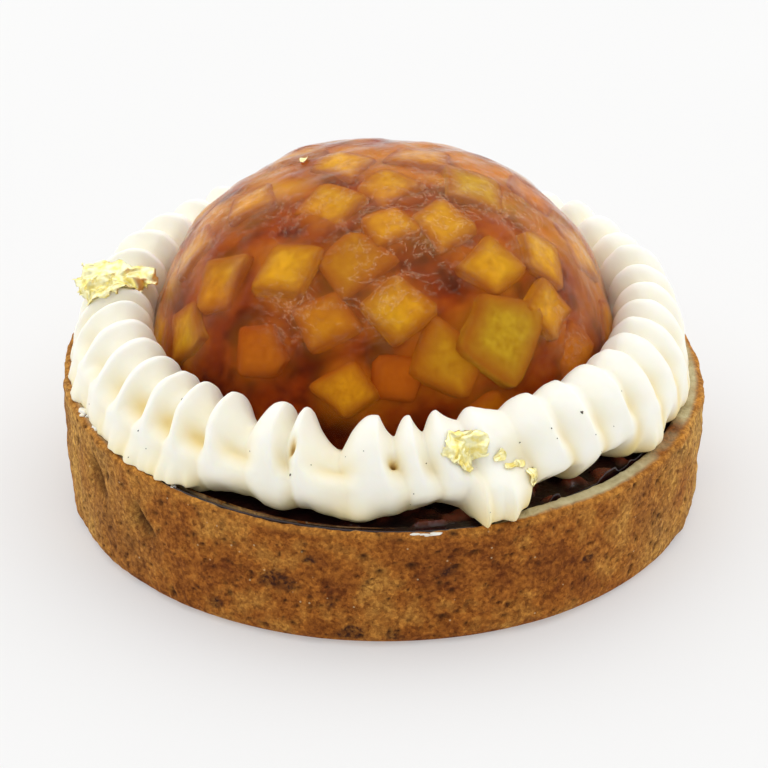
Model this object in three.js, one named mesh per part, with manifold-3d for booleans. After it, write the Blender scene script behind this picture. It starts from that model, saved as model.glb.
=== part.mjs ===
// An individual tarte tatin: a shortcrust case filled with dark caramelised apple, a dome of
// diced apple set in caramel jelly on top of it, a pleated ring of piped vanilla cream round
// the dome, and three flakes of gold leaf. Millimetres, +Z up, origin under the middle of the
// case. Angles round the tart are in degrees from the front (-Y), growing towards the right (+X).

import * as THREE from "three";
import { mergeVertices } from "three/addons/utils/BufferGeometryUtils.js";
import Module from "manifold-3d";

const wasm = await Module();
wasm.setup();

// Driving dimensions
const CASE_R = 40; // outer radius at the rim
const CASE_FOOT_R = 39.7; // outer radius at the base
const CASE_WALL = 2.9;
const CASE_FLOOR = 3;
const RIM_Z = 16.3; // mean height of the rim
const RIM_TILT = 1.0; // the rim stands this much higher at the back left than at the mean
const RIM_HIGH_AT = -118; // degrees from the front
const FOOT_ROUND = 1.3;
const RIM_ROUND = 0.7;
const CASE_SIDES = 60;

const GAP = 0.3; // between pieces that touch along curved faces
const FILLING_Z = 14.6; // top of the filling
const FILLING_R = CASE_R - CASE_WALL - GAP;

const DOME_R = 29;
const DOME_TOP_Z = 43.3;
const DOME_POWER = 2.34; // of the superellipse in its profile, where 2 is a circle's arc
const DOME_SIDES = 50;
const DOME_RINGS = 10;
const DOME_DENT = 0.35; // depth of the flats that the diced apple makes

// Cream: the section of a pleat in (radius, height), round from its inner foot, over its tip
// and crest, and down its outer side
const CREAM_FOOT_Z = FILLING_Z + GAP;
const CREAM_TIP_Z = 26.3;
const CREAM_REACH_R = 38.4;
const CREAM_SECTION = [
  [29.2, CREAM_FOOT_Z],
  [27.9, 19.0],
  [28.4, 23.4],
  [30.2, CREAM_TIP_Z],
  [33.6, 26.0],
  [36.6, 23.4],
  [CREAM_REACH_R, 19.4],
  [37.4, 16.4],
  [35.6, CREAM_FOOT_Z],
];
const CREAM_CORE = { r: 33.0, z: 20.0 }; // middle of a pleat's section
const CORE_SECTION = [[-3.8, 0], [2.6, 0], [3.4, 3], [2.2, 6.5], [-3.2, 6.5], [-4.4, 3]]; // from its foot
const CRESTS_AT = [
  -77, -69, -62, -55, -48, -41.5, -32.8, -22, -16.5, -1.5, 5.5, 11.5, 20, 31, 39, 47.5, 56, 63, 71, 79,
];
const PLEAT_STEP = 8.9; // degrees between pleats round the rest of the ring
const PLEAT_STEP_SPREAD = 1.6;
const PLEAT_FILL = 0.72; // half thickness of a pleat as a share of its room
const PLEAT_LEAN = 2; // degrees that a pleat's foot lies round the ring ahead of its crest
const TIP_THINNING = 0.5; // a pleat's thickness at its tip as a share of that at its foot
const PLEAT_RINGS = [0.74]; // shares of the way from a pleat's middle to its edge
const BACK_RISE = 0.12; // share by which the ring is taller at the back
const OFF_CENTRE = 0.6; // how far the ring lies off the middle of the case
const OFF_CENTRE_TOWARDS = -105;
const SLUMP_OUT = 2.4; // how far the foot has slumped out over the rim at one place
const SLUMP_AT = 23;
const SLUMP_SPREAD = 6;

const LEAF_THICKNESS = 0.35;
const LEAF_RINGS = 3;
const LEAF_SIDES = 12;
const CRUMPLE = 0.35; // height of a leaf's creases
const LEAF_DROOP = 0.4; // how steeply a leaf hangs where nothing bears it
const LEAVES = [
  { name: "gold_leaf_left", at: -97, r: 33.6, long: 5.2, wide: 3.4, turn: 8, rest: "cream" },
  { name: "gold_leaf_front", at: 15.5, r: 34.8, long: 3.2, wide: 1.9, turn: 80, rest: "cream" },
  { name: "gold_leaf_dome", at: -117, r: 11.6, long: 0.9, wide: 0.7, turn: 30, rest: "dome" },
];

const paint = (colour, roughness, metalness = 0) =>
  new THREE.MeshStandardMaterial({ color: colour, roughness, metalness });
const PASTRY = paint(0xa56a34, 0.85);
const CARAMEL = paint(0x2c1012, 0.12);
const APPLE_JELLY = paint(0xa85a1c, 0.15);
const CREAM = paint(0xf6efd8, 0.5);
const GOLD = paint(0xe9d56a, 0.3, 1);

const radians = THREE.MathUtils.degToRad;

// A small repeatable random number generator: numbers from 0 to 1.
function randomNumbers(seed) {
  let state = seed;
  return () => {
    state = (state * 16807) % 2147483647;
    return state / 2147483647;
  };
}

// Point at a radius, an angle round the tart and a height.
function polar(r, degrees, z) {
  const a = radians(degrees);
  return new THREE.Vector3(r * Math.sin(a), -r * Math.cos(a), z);
}

const angleOf = (x, y) => THREE.MathUtils.radToDeg(Math.atan2(x, -y));
const nearness = (degrees, to) => Math.cos(radians(degrees - to));

function solidOf(geometry) {
  const bare = new THREE.BufferGeometry();
  bare.setAttribute("position", geometry.getAttribute("position"));
  bare.setIndex(geometry.getIndex());
  const merged = mergeVertices(bare, 1e-4);
  return new wasm.Manifold(
    new wasm.Mesh({
      numProp: 3,
      vertProperties: new Float32Array(merged.getAttribute("position").array),
      triVerts: new Uint32Array(merged.getIndex().array),
    }),
  );
}

function geometryOf(solid) {
  const mesh = solid.getMesh();
  const geometry = new THREE.BufferGeometry();
  geometry.setAttribute("position", new THREE.BufferAttribute(mesh.vertProperties, 3));
  geometry.setIndex(new THREE.BufferAttribute(mesh.triVerts, 1));
  geometry.computeVertexNormals();
  return geometry;
}

function named(name, solid, material) {
  const mesh = new THREE.Mesh(geometryOf(solid), material);
  mesh.name = name;
  return mesh;
}

// A closed surface from rows of points: each row is a closed loop, and the first and last are
// closed off by a single point each.
function closedLoft(first, loops, last) {
  const sides = loops[0].length;
  const points = [first, ...loops.flat(), last];
  const index = [];
  const at = (loop, side) => 1 + loop * sides + (side % sides);
  for (let side = 0; side < sides; side++) {
    index.push(0, at(0, side + 1), at(0, side));
    for (let loop = 0; loop + 1 < loops.length; loop++) {
      index.push(at(loop, side), at(loop, side + 1), at(loop + 1, side + 1));
      index.push(at(loop, side), at(loop + 1, side + 1), at(loop + 1, side));
    }
    index.push(points.length - 1, at(loops.length - 1, side), at(loops.length - 1, side + 1));
  }
  const geometry = new THREE.BufferGeometry().setFromPoints(points);
  geometry.setIndex(index);
  return geometry;
}

// A profile of (radius, height) points turned round the Z axis.
function turned(profile, sides) {
  const outline = profile.map(([r, z]) => new THREE.Vector2(r, z));
  return new THREE.LatheGeometry(outline, sides).rotateX(Math.PI / 2);
}

// Points of a quarter round from one direction to the next, in (radius, height).
function quarterRound(r, z, radius, fromDegrees) {
  return [0, 45, 90].map((turn) => {
    const a = radians(fromDegrees + turn);
    return [r + radius * Math.cos(a), z + radius * Math.sin(a)];
  });
}

function moveVertices(geometry, move) {
  const position = geometry.getAttribute("position");
  const point = new THREE.Vector3();
  for (let i = 0; i < position.count; i++) {
    move(point.fromBufferAttribute(position, i));
    position.setXYZ(i, point.x, point.y, point.z);
  }
  return geometry;
}

// The case: a cup with a rounded foot and an uneven rim. grown makes it larger all round.
function caseSolid(grown = 0) {
  const innerR = CASE_R - CASE_WALL - grown;
  const profile = [
    [0, -grown],
    ...quarterRound(CASE_FOOT_R - FOOT_ROUND, FOOT_ROUND - grown, FOOT_ROUND, -90),
    ...quarterRound(CASE_R + grown - RIM_ROUND, RIM_Z + grown - RIM_ROUND, RIM_ROUND, 0),
    ...quarterRound(innerR + RIM_ROUND, RIM_Z + grown - RIM_ROUND, RIM_ROUND, 90),
    [innerR, CASE_FLOOR],
    [0, CASE_FLOOR],
  ];
  const geometry = moveVertices(turned(profile, CASE_SIDES), (p) => {
    if (p.z < RIM_Z / 2) return;
    p.z += RIM_TILT * nearness(angleOf(p.x, p.y), RIM_HIGH_AT);
  });
  return solidOf(geometry);
}

function fillingSolid() {
  return solidOf(
    turned([[0, CASE_FLOOR], [FILLING_R, CASE_FLOOR], [FILLING_R, FILLING_Z], [0, FILLING_Z]], CASE_SIDES),
  );
}

// The dome: a superellipse turned about its axis, with shallow flats.
function domeSolid(grown = 0) {
  const profile = [[0, FILLING_Z - grown]];
  for (let ring = 0; ring <= DOME_RINGS; ring++) {
    const a = (ring / DOME_RINGS) * (Math.PI / 2);
    profile.push([
      (DOME_R + grown) * Math.cos(a) ** (2 / DOME_POWER),
      FILLING_Z + (DOME_TOP_Z + grown - FILLING_Z) * Math.sin(a) ** (2 / DOME_POWER),
    ]);
  }
  profile[profile.length - 1][0] = 0;
  const geometry = moveVertices(turned(profile, DOME_SIDES), (p) => {
    const rise = (p.z - FILLING_Z) / (DOME_TOP_Z - FILLING_Z);
    const angle = radians(angleOf(p.x, p.y));
    const dent = DOME_DENT * Math.sin(3 * angle + 4 * rise) * Math.sin(5 * angle - 7 * rise + 1);
    const share = 1 + (dent * Math.min(1, 4 * rise) * (1 - rise)) / DOME_R;
    p.x *= share;
    p.y *= share;
  });
  return solidOf(geometry);
}

// Where each pleat stands, and how much of the ring it has to itself, in degrees.
function pleats() {
  const random = randomNumbers(11);
  const angles = [...CRESTS_AT];
  const end = CRESTS_AT[0] + 360 - PLEAT_STEP / 2;
  let next = angles[angles.length - 1] + PLEAT_STEP;
  while (next < end) {
    angles.push(next);
    next += PLEAT_STEP + PLEAT_STEP_SPREAD * (random() - 0.5);
  }
  return angles.map((angle, i) => {
    const before = i ? angles[i - 1] : angles[angles.length - 1] - 360;
    const after = i + 1 < angles.length ? angles[i + 1] : angles[0] + 360;
    return { angle, room: (after - before) / 2, height: 1 + 0.06 * (random() - 0.5) };
  });
}

// One pleat: a cushion whose outline is the cream's section, thick below and thin at its tip,
// leaning round the ring.
function pleatSolid({ angle, room, height }) {
  const aim = OFF_CENTRE * nearness(angle, OFF_CENTRE_TOWARDS);
  const tall = height * (1 + (BACK_RISE * (1 - nearness(angle, 0))) / 2);
  const slump = Math.exp(-(((angle - SLUMP_AT) / SLUMP_SPREAD) ** 2));
  const place = (r, z, side) => {
    const rise = THREE.MathUtils.clamp((z - CREAM_FOOT_Z) / (CREAM_TIP_Z - CREAM_FOOT_Z), 0, 1);
    const outer = (r - CREAM_CORE.r) / (CREAM_REACH_R - CREAM_CORE.r);
    const out = outer > 0 ? outer * (aim + SLUMP_OUT * slump * (1 - rise)) : 0;
    const aside = side * room * (1 - (1 - TIP_THINNING) * rise);
    const ahead = PLEAT_LEAN * (1 - rise ** 1.3);
    const top = CREAM_FOOT_Z + (z - CREAM_FOOT_Z) * tall;
    return polar(r + out, angle + aside + ahead, Math.max(top, CREAM_FOOT_Z));
  };
  const between = ([r, z], share) => [
    CREAM_CORE.r + (r - CREAM_CORE.r) * share,
    CREAM_CORE.z + (z - CREAM_CORE.z) * share,
  ];
  const thickness = (share) => PLEAT_FILL * (1 - share ** 4) ** 0.5;
  const loop = (share, side) =>
    CREAM_SECTION.map((p) => place(...between(p, share), side * thickness(share)));
  const middle = (side) => place(CREAM_CORE.r, CREAM_CORE.z, side * PLEAT_FILL);
  return solidOf(
    closedLoft(
      middle(-1),
      [
        ...PLEAT_RINGS.map((share) => loop(share, -1)),
        loop(1, 0),
        ...PLEAT_RINGS.toReversed().map((share) => loop(share, 1)),
      ],
      middle(1),
    ),
  );
}

// The cream that runs unpleated through the foot of the ring.
function creamCoreSolid() {
  const outline = CORE_SECTION.map(([r, z]) => [CREAM_CORE.r + r, CREAM_FOOT_Z + z]);
  return solidOf(turned([...outline, outline[0]], CASE_SIDES));
}

// The cream: its pleats run into each other, and it lies against the dome and over the rim.
function creamSolid() {
  const ring = wasm.Manifold.union([creamCoreSolid(), ...pleats().map(pleatSolid)]);
  return ring.subtract(domeSolid(GAP)).subtract(caseSolid(GAP));
}

// Height of a mesh's top under a point, or nothing where it isn't there.
function heightAt(mesh, x, y) {
  const from = new THREE.Vector3(x, y, 100);
  const hits = new THREE.Raycaster(from, new THREE.Vector3(0, 0, -1)).intersectObject(mesh);
  return hits.length ? hits[0].point.z : -Infinity;
}

// Greatest height of a mesh's top within reach of a point.
function highestNear(mesh, x, y, reach) {
  let highest = heightAt(mesh, x, y);
  for (let i = 0; i < 8; i++) {
    const a = (i / 8) * 2 * Math.PI;
    highest = Math.max(highest, heightAt(mesh, x + reach * Math.cos(a), y + reach * Math.sin(a)));
  }
  return highest;
}

// A flake of gold leaf: a thin creased plate with a ragged outline, lying on what is under it.
function leafSolid({ at, r, long, wide, turn }, under, seed) {
  const random = randomNumbers(seed);
  const centre = polar(r, at, 0);
  const ragged = Array.from({ length: LEAF_SIDES }, () => 0.8 + 0.35 * random());
  const phase = 6 * random();
  const reach = long / LEAF_RINGS / 2;
  const top = highestNear(under, centre.x, centre.y, reach);
  const lay = (share, side, lift) => {
    const a = (side / LEAF_SIDES) * 2 * Math.PI;
    const spot = new THREE.Vector2(long * Math.cos(a), wide * Math.sin(a));
    spot.multiplyScalar(share * ragged[side]).rotateAround(new THREE.Vector2(), radians(at + 90 + turn));
    const x = centre.x + spot.x;
    const y = centre.y + spot.y;
    const bed = Math.max(highestNear(under, x, y, reach), top - LEAF_DROOP * spot.length());
    const crease = CRUMPLE * Math.sin(1.7 * spot.x + phase) * Math.cos(1.3 * spot.y);
    return new THREE.Vector3(x, y, bed + crease + lift);
  };
  const shares = Array.from({ length: LEAF_RINGS }, (_, i) => (i + 1) / LEAF_RINGS);
  const loops = (lift) => shares.map((share) => ragged.map((_, side) => lay(share, side, lift)));
  let leaf = solidOf(
    closedLoft(
      lay(0, 0, 0),
      [...loops(0), ...loops(LEAF_THICKNESS).toReversed()],
      lay(0, 0, LEAF_THICKNESS),
    ),
  );
  const bed = solidOf(under.geometry);
  while (leaf.minGap(bed, 2 * GAP) < GAP) leaf = leaf.translate([0, 0, GAP / 4]);
  return leaf;
}

const tart = new THREE.Group();
const dome = named("apple_dome", domeSolid(), APPLE_JELLY);
const cream = named("cream_ring", creamSolid(), CREAM);
tart.add(named("pastry_case", caseSolid(), PASTRY));
tart.add(named("caramel_filling", fillingSolid(), CARAMEL));
tart.add(dome, cream);
const beds = { cream, dome };
LEAVES.forEach((leaf, i) => tart.add(named(leaf.name, leafSolid(leaf, beds[leaf.rest], 7 + i), GOLD)));

export default tart;
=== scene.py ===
"""Looks of an individual tarte tatin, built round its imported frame.

Lengths are in millimetres and angles in degrees, and meshes are scaled to metres as they are made.
Angles round the tart are counted from the front (-Y) and grow towards the right (+X).
"""

import math

import bpy
import numpy as np
from mathutils import Matrix, Vector
from mathutils.bvhtree import BVHTree


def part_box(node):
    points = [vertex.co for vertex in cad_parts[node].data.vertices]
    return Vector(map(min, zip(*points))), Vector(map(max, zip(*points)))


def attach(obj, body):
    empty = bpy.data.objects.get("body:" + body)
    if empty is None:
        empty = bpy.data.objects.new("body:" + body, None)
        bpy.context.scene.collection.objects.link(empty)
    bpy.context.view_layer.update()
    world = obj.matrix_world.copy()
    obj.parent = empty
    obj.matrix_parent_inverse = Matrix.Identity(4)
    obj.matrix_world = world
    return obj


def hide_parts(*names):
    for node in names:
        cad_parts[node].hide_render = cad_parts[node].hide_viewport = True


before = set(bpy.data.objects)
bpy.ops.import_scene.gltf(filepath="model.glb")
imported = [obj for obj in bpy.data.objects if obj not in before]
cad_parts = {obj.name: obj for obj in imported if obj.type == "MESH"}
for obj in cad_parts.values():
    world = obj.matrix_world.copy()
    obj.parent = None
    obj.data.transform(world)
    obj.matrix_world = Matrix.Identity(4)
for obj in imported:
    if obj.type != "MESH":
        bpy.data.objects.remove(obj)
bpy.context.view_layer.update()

MM = 0.001


def extent(node):
    """Lowest and highest corner of a CAD node, in millimetres."""
    return [np.array(corner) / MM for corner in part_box(node)]


# ------------------------ sizes

CASE_R = extent("pastry_case")[1][0]
CASE_WALL = 2.9
RIM_TILT = 1.0  # the rim stands this much higher at the back left than at the mean
RIM_Z = extent("pastry_case")[1][2] - RIM_TILT
RIM_HIGH_AT = -118
FOOT_ROUND = 1.9
RIM_ROUND = 0.6
CASE_TAPER = 0.3  # the case is this much narrower at its base

FLOOR_Z = extent("caramel_filling")[0][2]
FILLING_Z = extent("caramel_filling")[1][2]
FILLING_R = extent("caramel_filling")[1][0]

DOME_R = extent("apple_dome")[1][1]
DOME_TOP_Z = extent("apple_dome")[1][2]
DOME_POWER = 2.34

CREAM_CORE = (33.0, 20.0)  # middle of the cream's section, in (radius, height)
CREAM_FOOT_Z = FILLING_Z + 0.2


# ------------------------ shapes

def polar(r, degrees, z):
    """Points at a radius, an angle round the tart and a height, in the last axis."""
    a = np.radians(degrees)
    r, a, z = np.broadcast_arrays(r, a, z)
    return np.stack([r * np.sin(a), -r * np.cos(a), z], axis=-1)


def angle_of(points):
    """Angle of each point round the tart."""
    return np.degrees(np.arctan2(points[..., 0], -points[..., 1]))


def nearness(degrees, to):
    """1 at an angle, 0 a quarter turn from it and -1 opposite it."""
    return np.cos(np.radians(degrees - to))


def smoothstep(x, low, high):
    """0 up to low, 1 from high on, and an even climb between them."""
    x = np.clip((x - low) / (high - low), 0, 1)
    return x * x * (3 - 2 * x)


def ripple(points, size, seed, waves=28):
    """A smooth random field of about -1 to 1, whose bumps are about size across.

    Each seed gives a field of its own.
    """
    rng = np.random.default_rng(seed)
    direction = rng.normal(size=(waves, 3))
    direction /= np.linalg.norm(direction, axis=1, keepdims=True)
    wave = direction * (math.pi / size) * rng.uniform(0.6, 1.4, (waves, 1))
    phase = rng.uniform(0, 2 * math.pi, waves)
    flat = points.reshape(-1, 3)
    total = sum(np.cos(flat @ wave[i] + phase[i]) for i in range(waves))
    return (total * math.sqrt(2 / waves) / 1.6).reshape(points.shape[:-1])


def round_angles(columns, first=0):
    """Evenly spaced angles once round the tart."""
    return np.arange(columns) * 360 / columns + first


def ring_faces(rows, columns, closed=False):
    """Quads of a grid whose columns run round, and whose rows do too if closed."""
    row, column = np.meshgrid(np.arange(rows if closed else rows - 1), np.arange(columns), indexing="ij")
    next_row = (row + 1) % rows
    next_column = (column + 1) % columns
    corners = [row * columns + column, row * columns + next_column,
               next_row * columns + next_column, next_row * columns + column]
    return np.stack([c.ravel() for c in corners], axis=1).tolist()


def capped(grid, first, last):
    """Points and faces of a grid of rings that is closed off by a point at either end."""
    rows, columns = grid.shape[:2]
    points = np.vstack([grid.reshape(-1, 3), [first], [last]])
    faces = ring_faces(rows, columns)
    start, end, top = rows * columns, rows * columns + 1, (rows - 1) * columns
    for i in range(columns):
        j = (i + 1) % columns
        faces.append([start, j, i])
        faces.append([end, top + i, top + j])
    return points, faces


def flipped(faces):
    """Faces turned to point the other way."""
    return [face[::-1] for face in faces]


def joined(shapes):
    """Several (points, faces) as one."""
    points, faces, count = [], [], 0
    for shape_points, shape_faces in shapes:
        points.append(shape_points)
        faces += [[k + count for k in face] for face in shape_faces]
        count += len(shape_points)
    return np.vstack(points), faces


def make_mesh(name, points, faces, surface, smooth=True):
    """A mesh object, from points in millimetres."""
    mesh = bpy.data.meshes.new(name)
    mesh.from_pydata((np.asarray(points) * MM).tolist(), [], faces)
    mesh.update()
    mesh.polygons.foreach_set("use_smooth", [smooth] * len(mesh.polygons))
    mesh.materials.append(surface)
    piece = bpy.data.objects.new(name, mesh)
    bpy.context.collection.objects.link(piece)
    return piece


def paint_points(piece, name, values):
    """A number at each of a piece's points, for its material to read, and 0 past the last value."""
    layer = piece.data.attributes.new(name, "FLOAT", "POINT")
    numbers = np.zeros(len(piece.data.vertices), np.float32)
    numbers[:np.size(values)] = np.ravel(values)
    layer.data.foreach_set("value", numbers)


def keep(piece, slot, *nodes):
    """The piece is part of the tart, and stands for the CAD nodes given."""
    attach(piece, "root")
    if nodes:
        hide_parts(*nodes)
    return piece


# ------------------------ materials

class Nodes:
    """Short ways to add nodes to a tree."""

    def __init__(self, tree):
        self.tree = tree

    def node(self, kind, inputs=None, **settings):
        made = self.tree.nodes.new("ShaderNode" + kind)
        for key, value in settings.items():
            setattr(made, key, value)
        for key, value in (inputs or {}).items():
            self.put(value, made.inputs[key])
        return made

    def put(self, value, socket):
        if isinstance(value, bpy.types.NodeSocket):
            self.tree.links.new(value, socket)
        else:
            socket.default_value = value

    def where(self):
        return self.node("TexCoord").outputs["Object"]

    def noise(self, size, detail=4, roughness=0.5, distortion=0.0, where=None):
        """Noise of 0 to 1 whose bumps are about size millimetres across."""
        inputs = {"Vector": where or self.where(), "Scale": 1 / (size * MM), "Detail": detail,
                  "Roughness": roughness, "Distortion": distortion}
        return self.node("TexNoise", inputs).outputs["Fac"]

    def grains(self, size, output):
        """Grains about size millimetres across: each one's random Color, or the Distance from its middle."""
        inputs = {"Vector": self.where(), "Scale": 1 / (size * MM)}
        return self.node("TexVoronoi", inputs).outputs[output]

    def stretch(self, x, y, z):
        return self.node("Mapping", {"Vector": self.where(), "Scale": (x, y, z)}).outputs["Vector"]

    def painted(self, name):
        return self.node("Attribute", attribute_name=name).outputs["Fac"]

    def ramp(self, value, *stops):
        """A value turned into colours: stops are (position, colour)."""
        made = self.node("ValToRGB", {"Fac": value})
        points = made.color_ramp.elements
        while len(points) < len(stops):
            points.new(0.5)
        for point, (position, colour) in zip(points, stops):
            point.position = position
            point.color = (*colour, 1) if len(colour) == 3 else colour
        return made.outputs["Color"]

    def between(self, value, low, high, to_low=0.0, to_high=1.0):
        inputs = {"Value": value, "From Min": low, "From Max": high, "To Min": to_low, "To Max": to_high}
        return self.node("MapRange", inputs, interpolation_type="SMOOTHSTEP").outputs["Result"]

    def math(self, operation, a, b=0.0):
        return self.node("Math", {0: a, 1: b}, operation=operation).outputs[0]

    def mix(self, share, a, b, blend="MIX"):
        made = self.node("Mix", data_type="RGBA", blend_type=blend)
        self.put(share, made.inputs[0])
        for value, socket in ((a, made.inputs[6]), (b, made.inputs[7])):
            self.put((*value, 1) if isinstance(value, tuple) else value, socket)
        return made.outputs[2]

    def bump(self, height, depth, under=None):
        """Relief of depth millimetres between a height of 0 and one of 1."""
        inputs = {"Height": height, "Distance": depth * MM, "Strength": 1.0}
        if under is not None:
            inputs["Normal"] = under
        return self.node("Bump", inputs).outputs["Normal"]


class Surface(Nodes):
    """A Principled material."""

    def __init__(self, name, **values):
        self.material = bpy.data.materials.new(name)
        self.material.use_nodes = True
        super().__init__(self.material.node_tree)
        self.shader = self.tree.nodes["Principled BSDF"]
        for socket, value in values.items():
            name = socket.replace("_", " ").title().replace("Ior", "IOR")
            self.shader.inputs[name].default_value = value

    def set(self, name, value):
        self.put(value, self.shader.inputs[name])


def pastry_surface():
    """Shortcrust: toasted and grainy, with darker spots, a little sugar and the painted browning, a painted
    side light on its outer wall and painted shade in its pits and dents.
    """
    s = Surface("pastry", roughness=0.85, specular_ior_level=0.12)
    toast = s.ramp(s.noise(6, 5, 0.62), (0.32, (0.180, 0.046, 0.008)), (0.50, (0.34, 0.109, 0.016)),
                   (0.70, (0.49, 0.222, 0.043)))
    grain = s.ramp(s.noise(0.7, 5, 0.75), (0.34, (0.45, 0.36, 0.32)), (0.50, (1.0, 1.0, 1.0)),
                   (0.67, (1.42, 1.55, 1.55)))
    crumb = s.ramp(s.grains(0.42, "Color"), (0.15, (0.66, 0.60, 0.56)), (0.5, (1.0, 1.0, 1.0)),
                   (0.85, (1.36, 1.42, 1.42)))
    grain = s.mix(0.85, grain, crumb, "MULTIPLY")
    colour = s.mix(0.9, toast, grain, "MULTIPLY")
    # painted light: the outer wall is lighter at the sides and the back, where the side light of the tent
    # falls
    side_light = s.mix(0.9, (0.62, 0.375, 0.10), grain, "MULTIPLY")
    colour = s.mix(s.painted("side_light"), colour, side_light)
    spots = s.math("ADD", s.grains(0.55, "Distance"), s.noise(1.5, 4, 0.6))
    dark = s.between(spots, 0.43, 0.49, 0.85, 0)
    colour = s.mix(dark, colour, (0.070, 0.022, 0.008))
    sugar = s.between(s.grains(1.9, "Distance"), 0.045, 0.08, 0.5, 0)
    colour = s.mix(sugar, colour, (0.80, 0.62, 0.36))
    uneven = s.between(s.noise(0.6, 3, 0.6), 0.38, 0.58, 1.0, 0.5)
    # the burnt patches are the crust's own colour; in the dents the same dark is painted shade
    charred_and_dent_shade = s.math("MULTIPLY", s.painted("burnt_and_dent_shade"), uneven)
    colour = s.mix(charred_and_dent_shade, colour, (0.050, 0.016, 0.008))
    browned = s.mix(0.8, (0.50, 0.205, 0.035), grain, "MULTIPLY")
    colour = s.mix(s.painted("browned"), colour, browned)
    pale = s.ramp(s.noise(1.3, 4), (0.35, (0.50, 0.42, 0.23)), (0.65, (0.66, 0.585, 0.35)))
    colour = s.mix(s.painted("pale"), colour, pale)
    # painted shade: the pits and the dents are painted dark
    colour = s.mix(s.painted("pit_shade"), colour, (0.035, 0.012, 0.005))
    s.set("Base Color", colour)
    s.set("Normal", s.bump(s.noise(0.36, 4, 0.7), 0.22, s.bump(s.noise(1.6, 3), 0.25)))
    return s.material


def caramel_surface():
    """Nearly black glossy caramel, redder where apple is painted."""
    s = Surface("caramel", roughness=0.12, specular_ior_level=0.3, coat_weight=0.3, coat_roughness=0.03)
    dark = s.ramp(s.noise(2.5, 3), (0.35, (0.006, 0.0025, 0.004)), (0.65, (0.03, 0.007, 0.006)))
    s.set("Base Color", s.mix(s.painted("apple"), dark, (0.15, 0.026, 0.010)))
    s.set("Normal", s.bump(s.noise(1.1, 3), 0.18))
    return s.material


def cream_surface():
    """Matt white cream with painted shade: yellower in its hollows, creases and foot, and brown in its
    holes.
    """
    s = Surface("cream", roughness=0.5, subsurface_weight=0.3, subsurface_scale=1.0 * MM,
                specular_ior_level=0.25)
    s.shader.inputs["Subsurface Radius"].default_value = (1.0, 0.8, 0.45)
    fresh = s.ramp(s.noise(3, 2), (0.35, (0.955, 0.93, 0.82)), (0.65, (0.97, 0.95, 0.86)))
    # painted shade: the cream is yellower in its hollows
    hollow_shade = s.mix(s.painted("hollow_shade"), fresh, (0.90, 0.74, 0.36))
    # painted shade: brown in the deep holes
    s.set("Base Color", s.mix(s.painted("hole_shade"), hollow_shade, (0.50, 0.29, 0.07)))
    s.set("Normal", s.bump(s.noise(0.7, 3), 0.02))
    return s.material


def jelly_surface():
    """Clear amber jelly with a painted highlight: thin pale threads for the glints on its wrinkled skin,
    where the skin is painted.
    """
    s = Surface("apple_jelly", roughness=0.04, ior=1.14, specular_ior_level=0.12, coat_weight=0.05,
                coat_roughness=0.04, coat_ior=1.3)
    s.set("Specular Tint", (1.0, 0.86, 0.60, 1))
    along = s.stretch(1, 1, 1.5)
    line = s.math("ABSOLUTE", s.math("SUBTRACT", s.noise(5, 8, 0.72, 0.4, along), 0.5))
    # painted highlight: along the threads the jelly is less clear and pale, for glints on the wrinkles
    wrinkle_sheen = s.math("MULTIPLY", s.between(line, 0.0, 0.016, 0.28, 0.015), s.painted("wrinkle_sheen"))
    s.set("Transmission Weight", s.math("SUBTRACT", 1.0, wrinkle_sheen))
    warmer = s.math("MULTIPLY", wrinkle_sheen, 3.5)
    s.set("Base Color", s.mix(warmer, (0.96, 0.86, 0.66), (1.0, 0.72, 0.42)))
    wrinkles = s.noise(2.6, 5, 0.55, 1.4, along)
    s.set("Normal", s.bump(wrinkles, 0.16, s.bump(s.noise(7, 2), 0.2)))
    s.set("Coat Normal", s.bump(s.noise(1.9, 5, 0.55, 1.8, along), 0.25))
    absorb = s.node("VolumeAbsorption", {"Color": (0.86, 0.47, 0.12, 1), "Density": 205.0})
    s.tree.links.new(absorb.outputs[0], s.tree.nodes["Material Output"].inputs["Volume"])
    return s.material


def apple_surface():
    """Diced apple, from olive through yellow to orange, browner where it is soaked in caramel."""
    s = Surface("apple", roughness=0.6, specular_ior_level=0.06)
    tone = s.ramp(s.painted("ripe"), (0.0, (0.62, 0.44, 0.022)), (0.5, (0.86, 0.54, 0.016)),
                  (1.0, (0.70, 0.23, 0.012)))
    soft = s.ramp(s.noise(1.6, 6, 0.75), (0.34, (0.80, 0.68, 0.5)), (0.5, (0.98, 0.95, 0.9)),
                  (0.66, (1.14, 1.22, 1.2)))
    colour = s.mix(1.0, tone, soft, "MULTIPLY")
    s.set("Base Color", s.mix(s.painted("soaked"), colour, (0.44, 0.135, 0.010)))
    s.set("Normal", s.bump(s.noise(0.9, 3), 0.12))
    return s.material


def compote_surface():
    """Cooked apple, from dark red-brown to amber, and yellow where apple is painted."""
    s = Surface("compote", roughness=0.7, specular_ior_level=0.04, subsurface_weight=0.35,
                subsurface_scale=0.8 * MM)
    s.shader.inputs["Subsurface Radius"].default_value = (1.0, 0.35, 0.08)
    dark = s.ramp(s.noise(5, 4, 0.55), (0.35, (0.13, 0.021, 0.004)), (0.50, (0.33, 0.070, 0.007)),
                  (0.65, (0.50, 0.165, 0.013)))
    s.set("Base Color", s.mix(s.painted("apple"), dark, (0.74, 0.42, 0.018)))
    return s.material


def gold_surface():
    s = Surface("gold_leaf", metallic=1.0, roughness=0.34)
    s.set("Base Color", s.ramp(s.noise(0.9, 4), (0.35, (0.90, 0.76, 0.25)), (0.6, (1.0, 0.95, 0.58))))
    s.set("Normal", s.bump(s.noise(0.5, 4, 0.65), 0.10))
    return s.material


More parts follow.
